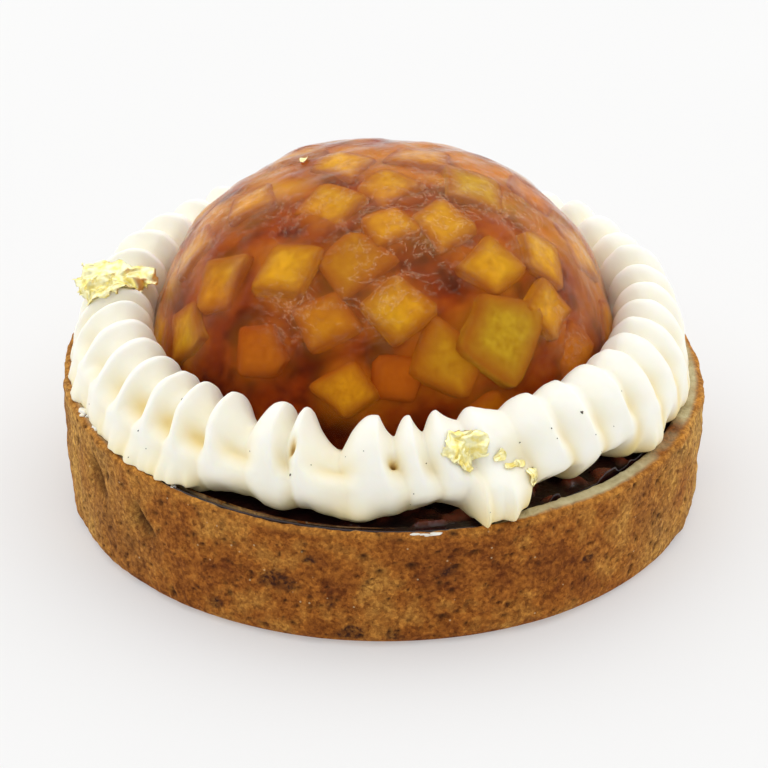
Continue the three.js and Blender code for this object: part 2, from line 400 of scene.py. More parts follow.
def seed_surface():
    s = Surface("vanilla_seed", roughness=0.5)
    s.set("Base Color", s.ramp(s.noise(0.2, 1), (0.3, (0.02, 0.012, 0.008)), (0.7, (0.09, 0.055, 0.03))))
    return s.material


def table_surface():
    s = Surface("table", roughness=0.9, specular_ior_level=0.0, emission_strength=TABLE_GLOW)
    s.set("Emission Color", (1, 1, 1, 1))
    s.set("Base Color", s.ramp(s.noise(60, 1), (0.3, (0.508, 0.508, 0.506)), (0.7, (0.513, 0.513, 0.511))))
    return s.material


# ------------------------ camera and light

CAMERA_DISTANCE = 520
CAMERA_HEIGHT_ANGLE = 30.29
CAMERA_AIM_Z = 13.74
CAMERA_LENS = 191.77
TENT_BASE = 0.58  # brightness of the light tent all round, and what is added in three directions
TENT_BEHIND = 0.60
TENT_BESIDE = 0.42
TENT_ABOVE = 0.55
TABLE_HALF = 3000
TABLE_GLOW = 0.34  # keeps the table nearly white under the dimmer side of the tent


def make_camera():
    data = bpy.data.cameras.new("camera")
    data.sensor_width = 36
    data.lens = CAMERA_LENS
    data.clip_start = 0.05
    data.clip_end = 20
    camera = bpy.data.objects.new("camera", data)
    bpy.context.collection.objects.link(camera)
    rise = math.radians(CAMERA_HEIGHT_ANGLE)
    camera.location = Vector((0, -math.cos(rise), math.sin(rise))) * CAMERA_DISTANCE * MM
    aim = Vector((0, 0, CAMERA_AIM_Z * MM))
    camera.rotation_euler = (aim - camera.location).to_track_quat("-Z", "Y").to_euler()
    bpy.context.scene.camera = camera


def make_studio():
    """A light tent that is bright behind, above and at the sides, and dimmer on the camera's side."""
    world = bpy.data.worlds.new("studio")
    world.use_nodes = True
    bpy.context.scene.world = world
    n = Nodes(world.node_tree)
    way = n.node("SeparateXYZ", {0: n.node("TexCoord").outputs["Generated"]})
    behind = n.between(way.outputs["Y"], -0.35, 0.65, 0, TENT_BEHIND)
    beside = n.between(n.math("ABSOLUTE", way.outputs["X"]), 0.25, 0.95, 0, TENT_BESIDE)
    above = n.between(way.outputs["Z"], 0.45, 0.95, TENT_BASE, TENT_BASE + TENT_ABOVE)
    light = n.math("ADD", above, n.math("ADD", behind, beside))
    background = world.node_tree.nodes["Background"]
    background.inputs["Color"].default_value = (1, 1, 1, 1)
    n.put(light, background.inputs["Strength"])
    bpy.context.scene.view_settings.view_transform = "Standard"
    corners = [(x * TABLE_HALF, y * TABLE_HALF, 0) for x, y in ((-1, -1), (1, -1), (1, 1), (-1, 1))]
    make_mesh("table", corners, [[0, 1, 2, 3]], table_surface(), smooth=False)


# ------------------------ pastry case

CASE_COLUMNS = 880
WALL_STEP = 0.29
FOOT_STEPS = 9
RIM_STEPS = (4, 3)  # of the outer and the inner round of the rim
INNER_WALL_ROWS = 12
BASE_RINGS = (12, 24, 32, 36)
FLOOR_RINGS = (26, 12)
PITS = 700
PIT_WIDTHS = (0.15, 0.31)
PIT_HEIGHTS = (0.13, 0.26)
LARGE_PITS = 0.08  # share of the pits that are about twice as large
DENTS = ((-61.4, 10.9), (-46.6, 10.0))  # (angle, height) of two slanting dents in the side
DENT_SLANT = (0.75, 0.66)  # direction along a dent, to the right and down
DENT_HALF_LENGTH = 2.2
DENT_DEPTH = 1.6
# Darker patches of the side: (angle, height, radius)
BURNT = ((-18, 7.6, 2.0), (-19.6, 8.4, 1.2), (-12.6, 11.7, 0.9), (-9.2, 6.5, 1.0), (11.1, 10.5, 1.1),
         (37.9, 7.2, 0.9), (-6, 1.6, 1.6), (2, 1.3, 1.4), (-30, 3, 1.2))
RIM_WORN = (-52, 17)  # angles between which the rim's top slopes down to the filling
RIM_SLOPE = 0.62
RIM_BROWN = (65, 8)  # (angle, half width) of a stretch of rim that is browned right across


def arc(r, z, radius, start, steps):
    """A quarter round as (radius, height) points, turning left from a direction in degrees."""
    a = np.radians(start + np.linspace(0, 90, steps + 1))
    return np.stack([r + radius * np.cos(a), z + radius * np.sin(a)], axis=1)


def rim_height(degrees):
    """Height of the rim, which tilts a little."""
    return RIM_Z + RIM_TILT * nearness(degrees, RIM_HIGH_AT)


def rim_worn(degrees):
    """1 where the rim is worn down to the filling and 0 where it is whole."""
    return smoothstep(degrees, RIM_WORN[0] - 12, RIM_WORN[0] + 4) * (
        1 - smoothstep(degrees, RIM_WORN[1] - 2, RIM_WORN[1] + 10))


def rim_top(r, degrees):
    """Height of the top of the rim, which slopes down inwards where it is worn."""
    inwards = (CASE_R - RIM_ROUND - r).clip(0, CASE_WALL)
    return rim_height(degrees) - rim_worn(degrees) * RIM_SLOPE * inwards


def case_profile():
    """Base, outer wall, rim, inner wall and floor of the case, as (radius, height) points."""
    foot_r = CASE_R - CASE_TAPER
    inner_r = CASE_R - CASE_WALL
    wall_z = np.arange(FOOT_ROUND + WALL_STEP, RIM_Z - RIM_ROUND, WALL_STEP)
    wall_r = foot_r + CASE_TAPER * (wall_z - FOOT_ROUND) / (RIM_Z - FOOT_ROUND)
    flat_r = np.arange(CASE_R - RIM_ROUND, inner_r + RIM_ROUND, -WALL_STEP)[1:]
    down_z = np.linspace(RIM_Z - RIM_ROUND - 0.3, FLOOR_Z, INNER_WALL_ROWS)
    return np.vstack([
        [(r, 0) for r in (*BASE_RINGS, foot_r - FOOT_ROUND - 0.4)],
        arc(foot_r - FOOT_ROUND, FOOT_ROUND, FOOT_ROUND, -90, FOOT_STEPS),
        np.stack([wall_r, wall_z], axis=1),
        arc(CASE_R - RIM_ROUND, RIM_Z - RIM_ROUND, RIM_ROUND, 0, RIM_STEPS[0]),
        np.stack([flat_r, np.full_like(flat_r, RIM_Z)], axis=1),
        arc(inner_r + RIM_ROUND, RIM_Z - RIM_ROUND, RIM_ROUND, 90, RIM_STEPS[1]),
        [(inner_r, z) for z in down_z],
        [(r, FLOOR_Z) for r in FLOOR_RINGS],
    ])


def case_pits(angle, height):
    """How far each point of the outer wall lies in a pit, from 0 to 1, and how deep that is."""
    rng = np.random.default_rng(5)
    share = np.zeros_like(angle)
    depth = np.zeros_like(angle)
    for _ in range(PITS):
        at = rng.uniform(-180, 180)
        z = rng.uniform(0.5, RIM_Z)
        wide = rng.uniform(*PIT_WIDTHS)
        tall = rng.uniform(*PIT_HEIGHTS)
        if rng.uniform() < LARGE_PITS:
            wide *= 2.2
            tall *= 1.8
        around = np.radians((angle - at + 180) % 360 - 180) * CASE_R
        inside = np.exp(-((around / wide) ** 2 + ((height - z) / tall) ** 2))
        share = np.maximum(share, inside)
        depth = np.maximum(depth, inside * min(wide, 0.45) * 0.8)
    return share, depth


def case_dents(angle, height):
    """How far each point of the outer wall lies in a dent, from 0 to 1."""
    share = np.zeros_like(angle)
    right, down = DENT_SLANT
    for at, z in DENTS:
        around = np.radians(angle - at) * CASE_R
        along = around * right - (height - z) * down
        across = around * down + (height - z) * right
        wide = np.where(across > 0, 0.7, 1.5)  # the upper right edge of a dent is the sharp one
        share = np.maximum(share, np.exp(-((along / DENT_HALF_LENGTH) ** 2 + (across / wide) ** 2)))
    return share


def case_burns(angle, height, at):
    """How dark each point of the outer wall is in a burnt patch, from 0 to 1."""
    share = np.zeros_like(angle)
    for patch_at, patch_z, size in BURNT:
        far = np.hypot(np.radians(angle - patch_at) * CASE_R, height - patch_z)
        far = far + 0.45 * size * ripple(at, 1.3, 9)
        share = np.maximum(share, smoothstep(-far, -size, -0.3 * size))
    return share


def make_case():
    """The shortcrust case, a turned profile that is roughened, pitted, dented and painted."""
    profile = case_profile()
    turn = np.gradient(profile, axis=0)
    turn /= np.linalg.norm(turn, axis=1, keepdims=True)
    normal = np.stack([turn[:, 1], -turn[:, 0]], axis=1)
    angle = round_angles(CASE_COLUMNS, -180)
    r, a = np.meshgrid(profile[:, 0], angle, indexing="ij")
    z = np.meshgrid(profile[:, 1], angle, indexing="ij")[0]
    at = polar(r, a, z)
    lift = smoothstep(z, RIM_Z * 0.4, RIM_Z) * (rim_height(a) - RIM_Z)
    outer = smoothstep(r, CASE_R - 0.9, CASE_R - 0.3)
    top = smoothstep(z, RIM_Z - 0.8, RIM_Z - 0.1)
    baked = smoothstep(z, 0.0, 1.2) * smoothstep(r, CASE_R - 3.2, CASE_R - 2.4)
    share, depth = case_pits(a, z)
    out = 0.18 * ripple(at, 7, 1) + 0.11 * ripple(at, 2.4, 2) + 0.07 * ripple(at, 0.8, 3) - 0.08
    dent = case_dents(a, z)
    out = baked * (out - DENT_DEPTH * dent - depth * outer)
    up = top * (0.13 * ripple(at, 5, 4) + 0.07 * ripple(at, 1.3, 5) + 0.05 * ripple(at, 0.6, 8) - 0.1)
    inside = smoothstep(r, CASE_R - CASE_WALL - 2, CASE_R - CASE_WALL - 0.1)
    up = up + top * inside * (rim_top(r, a) - rim_height(a))
    n_r = normal[:, 0][:, None]
    n_z = normal[:, 1][:, None]
    points = polar(r + out * n_r, a, np.maximum(z + lift + out * n_z * outer + up, 0))
    piece = make_mesh("shortcrust_case", *capped(points, (0, 0, 0), (0, 0, FLOOR_Z)), pastry_surface())
    edge = smoothstep(r, CASE_R - 1.3, CASE_R - 0.6)
    paleness = 0.68 + 0.35 * smoothstep(nearness(a, 70), 0.3, 1) + 0.25 * ripple(at, 4, 6)
    pale = top * (1 - edge) * smoothstep(r, 36, 37.2) * paleness
    brown = np.exp(-((a - RIM_BROWN[0]) / RIM_BROWN[1]) ** 2)
    pale = pale * (1 - brown * (0.75 + 0.5 * ripple(at, 2, 11)))
    browned = smoothstep(z, RIM_Z - 1.3, RIM_Z - 0.4) * edge * (0.65 + 0.35 * ripple(at, 3, 7))
    # the dents are painted dark as well: painted shade in the dents, added to the burnt patches
    burnt_and_dent_shade = np.maximum(case_burns(a, z, at), dent) * outer
    # painted light: lighter at the sides and the back of the outer wall, for the side light of the tent
    side_light = outer * smoothstep(-nearness(a, 0), -0.85, -0.2) * (0.42 + 0.25 * ripple(at, 6, 10))
    # painted shade: the pits and the dents are painted dark
    painted = (("pale", pale), ("side_light", side_light), ("browned", browned), ("burnt_and_dent_shade", burnt_and_dent_shade),
               ("pit_shade", np.maximum(share, 0.72 * dent) * outer))
    for name, values in painted:
        paint_points(piece, name, np.clip(values, 0, 1))
    return keep(piece, "pastry", "pastry_case")


# ------------------------ caramel filling

FILLING_COLUMNS = 720
FILLING_STEP = 0.3  # between the rings of the part that shows
FILLING_SPREAD = 2.25  # how far the caramel has run out over the worn part of the rim
SPREAD_RINGS = 8
SPREAD_DROP = 0.35  # its last ring goes down by this much, to end inside the crust


def make_filling():
    """A disc of filling, lumpy with cooked apple near its edge, that has run over the worn rim."""
    rings = np.concatenate([[8, 18, 26], np.arange(29, FILLING_R, FILLING_STEP), [FILLING_R]])
    angle = round_angles(FILLING_COLUMNS, -180)
    r, a = np.meshgrid(rings, angle, indexing="ij")
    at = polar(r, a, FILLING_Z)
    lump = np.clip(ripple(at, 2.4, 21) + 0.45 * ripple(at, 1.0, 22) + 0.1, 0, 1)
    lump = lump * smoothstep(r, 29, 31) * (0.35 + 0.65 * smoothstep(nearness(a, 65), 0.2, 0.9))
    meniscus = 0.5 * smoothstep(r, FILLING_R - 0.8, FILLING_R) ** 2
    top = FILLING_Z + 0.9 * lump + meniscus - 0.2
    grid = polar(r, a, top)
    steps = np.append(np.linspace(0.14, 0.97, SPREAD_RINGS - 1), 1)
    share, a = np.meshgrid(steps, angle, indexing="ij")
    worn = rim_worn(a) * (1 + 0.12 * ripple(polar(38.0, a, 0.0), 3, 23))
    r = FILLING_R + FILLING_SPREAD * worn * share
    level = np.maximum(FILLING_Z + 0.3, rim_top(r, a) + 0.10)
    spread = polar(r, a, top[-1] + (level - top[-1]) * rim_worn(a) - SPREAD_DROP * (share > 0.99))
    base_z = FLOOR_Z + 0.05
    side = polar(FILLING_R, angle, base_z)[None]
    grid = np.concatenate([grid, spread, side])
    points, faces = capped(grid, (0, 0, FILLING_Z - 0.2), (0, 0, base_z))
    piece = make_mesh("caramel_apples", points, flipped(faces), caramel_surface())
    paint_points(piece, "apple", smoothstep(lump, 0.0, 0.9))
    return keep(piece, "caramel", "caramel_filling")


# ------------------------ apple dome

# Dice that show: (angle, rise, turn, size, depth, ripeness)
SEEN_DICE = (
    (35, 35, 40, 9.0, 0.15, 0.0), (44, 50, 10, 6.8, 0.35, 0.5), (67, 46, 30, 6.4, 0.4, 0.5),
    (55, 36, 15, 6.4, 0.3, 0.5), (4, 45, 38, 7.6, 0.6, 0.55), (-39, 50, 15, 7.4, 0.5, 0.55),
    (-62, 41, 30, 6.6, 0.9, 0.6), (-9, 25, 45, 6.8, 0.8, 0.6), (3, 68, 25, 6.6, 0.8, 0.5),
    (38, 66, 12, 7.2, 0.7, 0.5), (-14, 57, 48, 7.4, 1.2, 0.25), (-19, 41, 30, 6.6, 1.2, 0.6),
    (-50, 73, 20, 7.2, 0.8, 0.5), (89, 68, 10, 8.6, 0.2, 0.1), (-66, 25, 40, 6.8, 0.8, 0.25),
    (18, 32, 55, 8.0, 1.1, 0.2), (3, 29, 10, 6.4, 1.7, 0.95), (13, 84, 30, 6.4, 0.8, 0.5),
    (-131, 76, 20, 7.0, 0.6, 0.5), (-37, 31, 20, 7.0, 1.7, 0.8), (60, 22, 25, 7.0, 1.2, 0.7),
    (28, 16, 35, 7.0, 1.2, 0.7), (-88, 38, 15, 7.0, 0.8, 0.5), (92, 36, 40, 7.0, 0.8, 0.5),
)
# Where the skin gets the painted highlight of pale threads along its wrinkles: (angle, rise, radius, share)
SHEEN_PATCHES = ((-29, 42, 4, 1.0), (-6, 50, 6, 0.9), (8, 58, 7, 1.0), (-2, 74, 9, 0.8), (50, 72, 9, 1.0),
        (78, 58, 8, 1.0), (100, 40, 8, 1.2), (-96, 42, 9, 1.5), (-120, 60, 9, 1.0), (58, 30, 5, 0.8),
        (-60, 66, 6, 0.7), (160, 60, 20, 0.8), (-170, 35, 14, 0.8))
DICE_COVER = 0.45  # least thickness of jelly over a die
DICE_APART = 8.6  # between the middles of dice round the back
HEART_INSET = 1.9  # depth of the cooked apple between the dice
SKIN_ROWS = 150
SKIN_COLUMNS = 420
HEART_ROWS = 110
HEART_COLUMNS = 320


def dome_surface(angle, rise, inset=0.0):
    """Point on the dome, or inset below it, in a direction given by angle and rise from its middle."""
    up = np.sin(np.radians(rise))
    out = np.cos(np.radians(rise))
    tall = DOME_TOP_Z - FILLING_Z
    reach = ((out / DOME_R) ** DOME_POWER + (np.abs(up) / tall) ** DOME_POWER) ** (-1 / DOME_POWER)
    reach = reach - inset
    return polar(reach * out, angle, FILLING_Z + reach * up)


def dome_radius(z):
    """The dome's radius at a height, and 0 above it."""
    share = np.clip((z - FILLING_Z) / (DOME_TOP_Z - FILLING_Z), 0, 1)
    return DOME_R * (1 - share ** DOME_POWER) ** (1 / DOME_POWER)


def skin_inset(at):
    """How far the jelly's uneven skin lies below the smooth dome: mostly above it, so negative."""
    return -0.25 - 0.20 * ripple(at, 7, 31) - 0.12 * ripple(at, 3.2, 34)


def dome_directions(rows, columns, down):
    """Angles and rises of rings of points, from near the dome's top down through some degrees."""
    rise = 90 - down * np.linspace(1 / rows, 1, rows)
    rise, angle = np.meshgrid(rise, round_angles(columns), indexing="ij")
    return angle, rise


def domed(name, grid, base_z, surface):
    """A piece from rings of points that start near its top, closed off flat at its base."""
    rim_r = np.linalg.norm(grid[-1, :, :2], axis=1)
    base = polar(rim_r, round_angles(len(rim_r)), base_z)[None]
    points, faces = capped(np.concatenate([grid, base]), grid[0].mean(axis=0), (0, 0, base_z))
    return make_mesh(name, points, flipped(faces), surface)


def make_skin():
    """The jelly, a closed clear body with a wrinkled skin, sitting on the filling."""
    a, e = dome_directions(SKIN_ROWS, SKIN_COLUMNS, down=88.5)
    at = dome_surface(a, e)
    low = smoothstep(e, 2, 12)
    steep = at * np.array([1, 1, 0.5])
    wrinkle = 0.07 * ripple(steep, 2.6, 32) + 0.03 * ripple(steep, 1.2, 33)
    points = dome_surface(a, e, skin_inset(at) - low * wrinkle)
    piece = domed("caramel_jelly", points, FILLING_Z + 0.12, jelly_surface())
    # painted highlight: how much of the pale threads each part of the skin gets
    wrinkle_sheen = np.zeros_like(e)
    for sheen_at, sheen_rise, size, share in SHEEN_PATCHES:
        far = np.linalg.norm(at - dome_surface(sheen_at, sheen_rise), axis=-1)
        wrinkle_sheen = np.maximum(wrinkle_sheen, share * np.exp(-((far / size) ** 2)))
    paint_points(piece, "wrinkle_sheen", wrinkle_sheen)
    return keep(piece, "apple_jelly", "apple_dome")


def rounded_cube(steps, bevel):
    """Points from -1 to 1 and faces of a cube with rounded edges."""
    line = np.linspace(-1, 1, steps + 1)
    index = {}
    points = []
    faces = []

    def corner(key):
        if key not in index:
            index[key] = len(points)
            points.append([line[k] for k in key])
        return index[key]

    for axis in range(3):
        for side in (0, steps):
            for i in range(steps):
                for j in range(steps):
                    quad = []
                    for di, dj in ((0, 0), (1, 0), (1, 1), (0, 1)):
                        key = [i + di, j + dj]
                        key.insert(axis, side)
                        quad.append(corner(tuple(key)))
                    outward = (side == steps) == (axis != 1)
                    faces.append(quad if outward else quad[::-1])
    points = np.array(points)
    inner = np.clip(points, bevel - 1, 1 - bevel)
    away = points - inner
    length = np.maximum(np.linalg.norm(away, axis=1, keepdims=True), 1e-9)
    return np.where(length > 1e-6, inner + away / length * bevel, points), faces


def die_places():
    """Every die: those that show, then more scattered round the back."""
    rng = np.random.default_rng(8)
    places = [tuple(die) for die in SEEN_DICE]
    taken = [dome_surface(a, e) for a, e, *_ in SEEN_DICE]
    for _ in range(3000):
        a = rng.uniform(80, 280)
        e = np.degrees(np.arcsin(rng.uniform(0.25, 0.97)))
        at = dome_surface(a, e)
        if min(np.linalg.norm(at - t) for t in taken) < DICE_APART:
            continue
        taken.append(at)
        turn = rng.uniform(0, 90)
        size = rng.uniform(6.2, 7.8)
        depth = rng.uniform(0.3, 1.0)
        ripeness = rng.uniform(0.1, 0.9)
        places.append((a, e, turn, size, depth, ripeness))
    return places


def under_skin(points):
    """Points that would come through the jelly's skin are pressed back to lie just under it."""
    middle = np.array([0, 0, FILLING_Z])
    away = points - middle
    reach = np.linalg.norm(away, axis=1)
    rise = np.degrees(np.arcsin(np.clip(away[:, 2] / reach, 0, 1)))
    angle = angle_of(points)
    skin = dome_surface(angle, rise)
    limit = np.linalg.norm(dome_surface(angle, rise, skin_inset(skin) + DICE_COVER) - middle, axis=1)
    return middle + away * np.minimum(1, limit / reach)[:, None]


def die_axes(rng, angle, rise, turn):
    """Directions of a die's sides: turned about the way out of the dome, and tilted a little."""
    outward = dome_surface(angle, rise) - dome_surface(angle, rise, 1.0)
    outward /= np.linalg.norm(outward)
    side = np.cross([0, 0, 1.0], outward + 1e-6)
    side /= np.linalg.norm(side)
    up = np.cross(outward, side)
    c = math.cos(math.radians(turn))
    s = math.sin(math.radians(turn))
    turned = np.stack([side * c + up * s, up * c - side * s, outward])
    return turned + np.cross(np.stack([side, up, outward]), rng.normal(0, 0.10, 3))


def die_shape(rng, template, size):
    """A die's points and half its thickness: an uneven, skewed cube with two corners cut off."""
    half = size / 2 * rng.uniform((0.92, 0.85, 0.8), (1.05, 1.02, 0.95))
    shape = template * half
    shape = shape + 0.22 * ripple(template + rng.uniform(0, 50, 3), 1.2, 41)[:, None] * template
    shape[:, 0] += rng.normal(0, 0.12) * shape[:, 1]
    shape[:, 0] *= 1 + rng.normal(0, 0.10) * shape[:, 1] / half[1]
    for _ in range(2):
        turned = math.radians(45 + 90 * rng.integers(4) + rng.normal(0, 14))
        cut = np.array([math.cos(turned), math.sin(turned), 0])
        past = shape @ cut - size / 2 * rng.uniform(0.98, 1.3)
        shape = shape - past.clip(0, None)[:, None] * cut
    return shape, half[2]


def make_dice():
    """Diced apple, as one mesh of rounded, slightly uneven cubes."""
    rng = np.random.default_rng(9)
    template, template_faces = rounded_cube(steps=7, bevel=0.24)
    towards_edge = np.sort(np.abs(template), axis=1)[:, 1]
    edges = 0.9 * smoothstep(towards_edge, 0.30, 1.0)
    dice, ripe, soaked = [], [], []
    for angle, rise, turn, size, depth, ripeness in die_places():
        axes = die_axes(rng, angle, rise, turn)
        shape, half = die_shape(rng, template, size)
        dice.append((shape @ axes + dome_surface(angle, rise, depth + half), template_faces))
        ripe += [ripeness] * len(template)
        soaked.append(1 - (1 - edges) * (1 - 0.5 * smoothstep(depth, 0.4, 1.6)))
    points, faces = joined(dice)
    piece = make_mesh("apple_dice", under_skin(points), faces, apple_surface())
    paint_points(piece, "ripe", ripe)
    paint_points(piece, "soaked", soaked)
    return keep(piece, "apple_jelly")


def make_compote():
    """Cooked apple under the skin, which rises round each die and takes on some of its colour."""
    a, e = dome_directions(HEART_ROWS, HEART_COLUMNS, down=86)
    at = dome_surface(a, e)
    near = np.zeros_like(e)
    beside = smoothstep(-nearness(a, 0), -0.55, 0.1) * smoothstep(e, 5, 30)
    inset = HEART_INSET - 0.7 * beside + 0.45 * ripple(at, 4, 51)
    for die_at, die_rise, _, size, depth, _ in die_places():
        far = np.linalg.norm(at - dome_surface(die_at, die_rise), axis=-1) + 0.5 * ripple(at, 3, 52)
        here = np.exp(-((far / (0.66 * size)) ** 4))
        inset = inset * (1 - here) + (max(depth, DICE_COVER) + 0.55) * here
        near = np.maximum(near, here * (1 - 0.25 * depth))
    points = dome_surface(a, e, inset.clip(0.8, None))
    piece = domed("dome_heart", points, FILLING_Z + 0.3, compote_surface())
    # the cooked apple is painted more golden towards the top, and at the sides and the back
    golden_top = 0.28 * smoothstep(e, 40, 80) * smoothstep(ripple(at, 5, 53), -0.2, 0.9)
    golden_sides = 0.95 * beside * (0.58 + 0.45 * ripple(at, 3.4, 54))
    apple = np.maximum(0.5 * near, np.maximum(golden_top, golden_sides))
    paint_points(piece, "apple", apple.clip(0, 1))
    return keep(piece, "apple_jelly")


# ------------------------ cream

# Pleats that show: (angle of the crest, height of the crest, where the valley after it lies
# as a share of the way to the next crest, depth of that valley)
PLEATS = (
    (-84, 0.94, 0.5, 0.95), (-75, 0.93, 0.5, 0.95), (-66, 0.93, 0.5, 1.0), (-57.5, 0.93, 0.52, 1.05),
    (-49, 0.93, 0.56, 1.1), (-41.5, 0.95, 0.56, 1.1), (-33, 0.98, 0.5, 0.9), (-20.5, 1.04, 0.5, 0.7),
    (-15.5, 1.01, 0.5, 1.25), (0, 0.98, 0.5, 0.65), (6.8, 0.98, 0.5, 0.6), (12.5, 1.02, 0.6, 0.35),
    (20.5, 0.99, 0.5, 0.3), (34, 1.0, 0.3, 0.28), (42, 1.02, 0.3, 0.32), (51.5, 1.02, 0.3, 0.4),
    (60, 1.0, 0.3, 0.55), (68, 1.0, 0.35, 0.8), (76, 1.0, 0.4, 0.9), (84, 1.0, 0.4, 0.9),
)
PLEAT_STEP = 8.4  # between the crests round the back
# How far out the cream's foot lies: (angle, radius)
FOOT = (
    (-150, 36.8), (-110, 37.4), (-85, 38.3), (-66, 38.4), (-54, 38.9), (-48, 39.2), (-41, 38.9),
    (-37.5, 38.3), (-35, 35.8), (-27, 34.7), (-23, 36.3), (-14, 35.6), (-8, 37.2), (-3, 36.9),
    (4, 35.1), (12, 33.9), (15.2, 35.0), (16.6, 38.2), (17.4, 40.1), (18.4, 39.2), (19.2, 38.9),
    (20.8, 38.9), (22.5, 40.2), (24, 39.0), (26.5, 37.8), (29, 35.0), (32, 33.8), (38, 33.0),
    (39.5, 35.4), (43, 35.2), (48, 33.4), (51, 33.2), (54, 36.4), (58, 37.6), (63, 37.3),
    (67, 36.4), (72, 37.0), (78, 37.6), (95, 37.6), (120, 36.8),
)
FOOT_MEAN_R = 36.6  # radius of the foot in the section alone
HOLES = ((-17.4, 56, 1.0), (1.7, 52, 1.1))  # deep holes below notches: (angle, direction, size)
SLUMP = (15.5, 28.2)  # angles between which a pleat has slumped over the rim
CREAM_COLUMNS = 1240
CREAM_ROWS = 80
DEEPEST_CUT = 0.62  # as a share of the section's reach
BACK_RISE = 0.12  # the cream is this share taller at the back
OVER_RIM = 0.15  # between the rim and the cream that lies over it
# The cream's section: (direction from its core, reach), where 0 is outwards and 90 is up
SECTION = ((-180, 5.0), (-135, 6.4), (-95, 5.0), (-70, 5.3), (-48, 5.6), (-25, 5.3), (0, 5.1),
           (25, 5.2), (48, 5.6), (70, 6.3), (88, 6.9), (105, 7.2), (125, 6.6), (150, 5.4), (180, 5.0))


def pleats():
    """Every pleat: those that show, then more of about the same pitch round the back."""
    rng = np.random.default_rng(12)
    made = list(PLEATS)
    at = PLEATS[-1][0] + PLEAT_STEP
    while at < PLEATS[0][0] + 360 - PLEAT_STEP / 2:
        made.append((at, rng.uniform(0.95, 1.05), rng.uniform(0.4, 0.5), rng.uniform(0.85, 1.05)))
        at += PLEAT_STEP + rng.uniform(-0.9, 0.9)
    return np.array(made)


def pleat_wave(angle):
    """Height of the pleats' wave at an angle, from 0 in a valley to 1 on a crest, with the
    height of the crests and the depth of the valley there."""
    table = pleats()
    table = np.vstack([table, table[0] + [360, 0, 0, 0]])
    a = (angle - table[0, 0]) % 360 + table[0, 0]
    k = np.clip(np.searchsorted(table[:, 0], a, side="right") - 1, 0, len(table) - 2)
    u = (a - table[k, 0]) / (table[k + 1, 0] - table[k, 0])
    valley = table[k, 2]
    fall = np.clip(1 - u / valley, 0, 1) ** 1.7
    climb = 1 - np.clip(1 - (u - valley) / (0.86 * (1 - valley)), 0, 1) ** 2.1
    wave = np.where(u < valley, fall, climb)
    crest = table[k, 1] * (1 - u) + table[k + 1, 1] * u
    return wave, crest, table[k, 3]


def slumped(angle):
    """1 across the slumped pleat and 0 beyond it, with a sharper edge on its right."""
    left, right = SLUMP
    return smoothstep(angle, left - 1.5, left + 1.5) * (1 - smoothstep(angle, right - 1, right + 0.8))


def foot_radius(angle):
    """Radius of the cream's foot, more ragged at the left and at the right."""
    table = np.array(FOOT)
    r = np.interp(angle, table[:, 0], table[:, 1], period=360)
    at = polar(34.0, angle, 0.0)
    ragged = 0.28 * ripple(at, 0.8, 64) * smoothstep(nearness(angle, -60), 0.85, 0.95)
    ragged = ragged + 0.35 * ripple(at, 1.2, 65) * smoothstep(nearness(angle, 50), 0.85, 0.95)
    return r + 0.5 * ripple(at, 2.6, 61) + ragged


def hole_dips(t, a):
    """How far each point lies in one of the holes, from 0 to 1."""
    dip = np.zeros_like(t)
    for hole_at, hole_t, size in HOLES:
        across = (a - hole_at) / (0.75 * size)
        along = (t - hole_t) / (9 * size)
        dip = np.maximum(dip, np.exp(-across ** 2 - along ** 2))
    return dip


def cream_cuts(t, a):
    """What the pleats do at each point: the share of the reach that is left, how much painted
    shade it gets in a hollow, how low the valley is, and how near the point is to the valley's middle."""
    height = np.sin(np.radians(t)).clip(0, 1)
    lean = 2.5 * (height - 0.5) * smoothstep(nearness(a, 0), 0.5, 0.9)
    wave, crest, depth = pleat_wave(a + lean)
    middle = (1 - wave) ** 2
    low = (1 - wave) * depth
    upper = smoothstep(t, -2, 40) * (1 - smoothstep(t, 150, 178))
    left = smoothstep(nearness(a, -46), 0.94, 0.98)
    pocket = (1 - wave) * np.minimum(depth, 0.6 + 0.5 * left) * np.exp(-(((t - 38) / 20) ** 2))
    cut = 0.35 * low * upper + (0.30 + 0.06 * left) * pocket
    cut = DEEPEST_CUT * np.tanh(cut / DEEPEST_CUT)
    crease = middle * 0.075 * smoothstep(-np.abs(t + 20), -60, -10)
    share = (1 - cut - crease) * (1 + (crest - 1) * upper)
    # painted shade in the valleys, the pockets and the creases
    hollow_shade = 0.24 * low * upper + (0.7 + 0.35 * left) * pocket + 4 * crease
    return share, hollow_shade, low, middle


